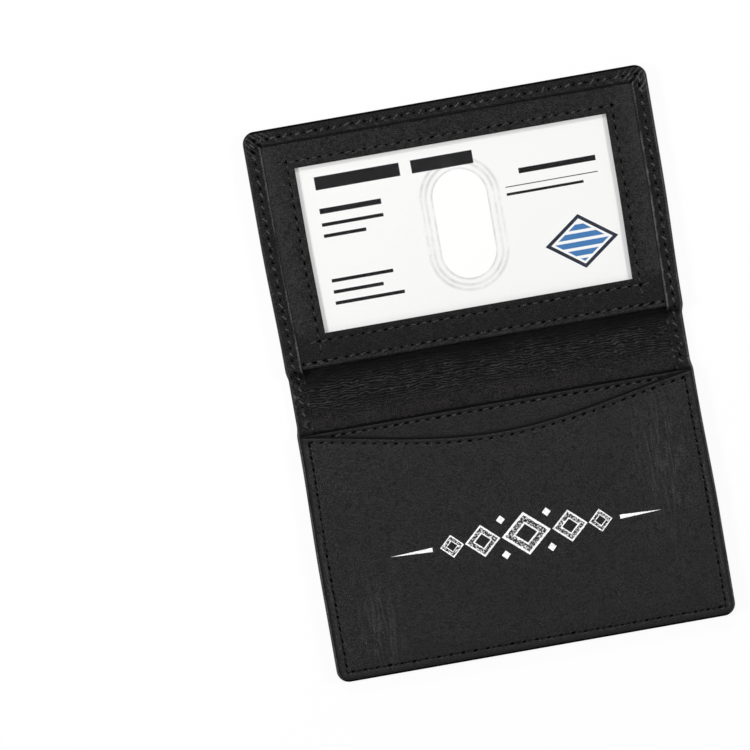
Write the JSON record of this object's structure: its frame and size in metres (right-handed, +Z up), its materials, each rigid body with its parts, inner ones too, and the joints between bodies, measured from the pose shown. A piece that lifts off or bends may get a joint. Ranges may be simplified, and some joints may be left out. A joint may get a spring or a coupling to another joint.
{
  "type": "business card holder",
  "caption": "Bifold leather card holder that folds along a soft rounded spine, with a clear display window on one half and stepped card pockets with a scooped mouth on the other.",
  "frame": {"origin": "under the middle of the fold, on the surface that the open holder lies on", "axes": "+X along the fold, +Y from the pocket half to the window half, +Z up out of the inside of the open holder"},
  "size_m": [0.1048, 0.144, 0.0046],
  "materials": {
    "cover_leather": "smooth black cowhide with a fine grain and a low sheen",
    "panel_leather": "smooth black leather, a little glossier than the cover",
    "lining_leather": "thin black lining leather, finely creased at the fold",
    "stiffener_board": "pressed fibre board",
    "clear_sheet": "clear flexible sheet with a glossy face",
    "card_stock": "smooth white card stock"
  },
  "bodies": {
    "pocket_half": {"back_cover_leather": "cover_leather", "back_stiffener_board": "stiffener_board", "back_lining": "lining_leather", "rear_pocket_panel": "panel_leather", "front_pocket_panel": "panel_leather"},
    "spine_strip_1": {"spine_leather_1": "cover_leather", "spine_lining_1": "lining_leather"},
    "spine_strip_2": {"spine_leather_2": "cover_leather", "spine_lining_2": "lining_leather"},
    "spine_strip_3": {"spine_leather_3": "cover_leather", "spine_lining_3": "lining_leather"},
    "spine_strip_4": {"spine_leather_4": "cover_leather", "spine_lining_4": "lining_leather"},
    "spine_strip_5": {"spine_leather_5": "cover_leather", "spine_lining_5": "lining_leather"},
    "window_half": {"front_cover_leather": "cover_leather", "front_stiffener_board": "stiffener_board", "front_lining": "lining_leather", "window_panel": "panel_leather", "clear_window": "clear_sheet"},
    "shown_card": {"display_card": "card_stock"}
  },
  "joints": [
    {"name": "spine_fold", "type": "hinge", "parent": "pocket_half", "child": "spine_strip_3", "pos_m": [0, -0.00315, 0.00169], "axis": [1, 0, 0], "range_deg": [0, 90]},
    {"name": "window_fold", "type": "hinge", "parent": "spine_strip_3", "child": "window_half", "pos_m": [0, 0.00315, 0.00169], "axis": [1, 0, 0], "range_deg": [0, 90]},
    {"name": "spine_bend_1", "type": "hinge", "parent": "pocket_half", "child": "spine_strip_1", "pos_m": [0, -0.00525, 0.00093], "axis": [1, 0, 0], "range_deg": [0, 30]},
    {"name": "spine_bend_2", "type": "hinge", "parent": "pocket_half", "child": "spine_strip_2", "pos_m": [0, -0.0042, 0.00121], "axis": [1, 0, 0], "range_deg": [0, 60]},
    {"name": "spine_bend_4", "type": "hinge", "parent": "window_half", "child": "spine_strip_4", "pos_m": [0, 0.0042, 0.00121], "axis": [1, 0, 0], "range_deg": [-60, 0]},
    {"name": "spine_bend_5", "type": "hinge", "parent": "window_half", "child": "spine_strip_5", "pos_m": [0, 0.00525, 0.00093], "axis": [1, 0, 0], "range_deg": [-30, 0]},
    {"name": "card_slide", "type": "slide", "parent": "window_half", "child": "shown_card", "axis": [0, -1, 0], "range_m": [0, 0.0095]}
  ],
  "couplings": [
    {"joint": "window_fold", "follows": "spine_fold", "ratio": 1},
    {"joint": "spine_bend_1", "follows": "spine_fold", "ratio": 0.33333},
    {"joint": "spine_bend_2", "follows": "spine_fold", "ratio": 0.66667},
    {"joint": "spine_bend_4", "follows": "spine_fold", "ratio": -0.66667},
    {"joint": "spine_bend_5", "follows": "spine_fold", "ratio": -0.33333}
  ]
}
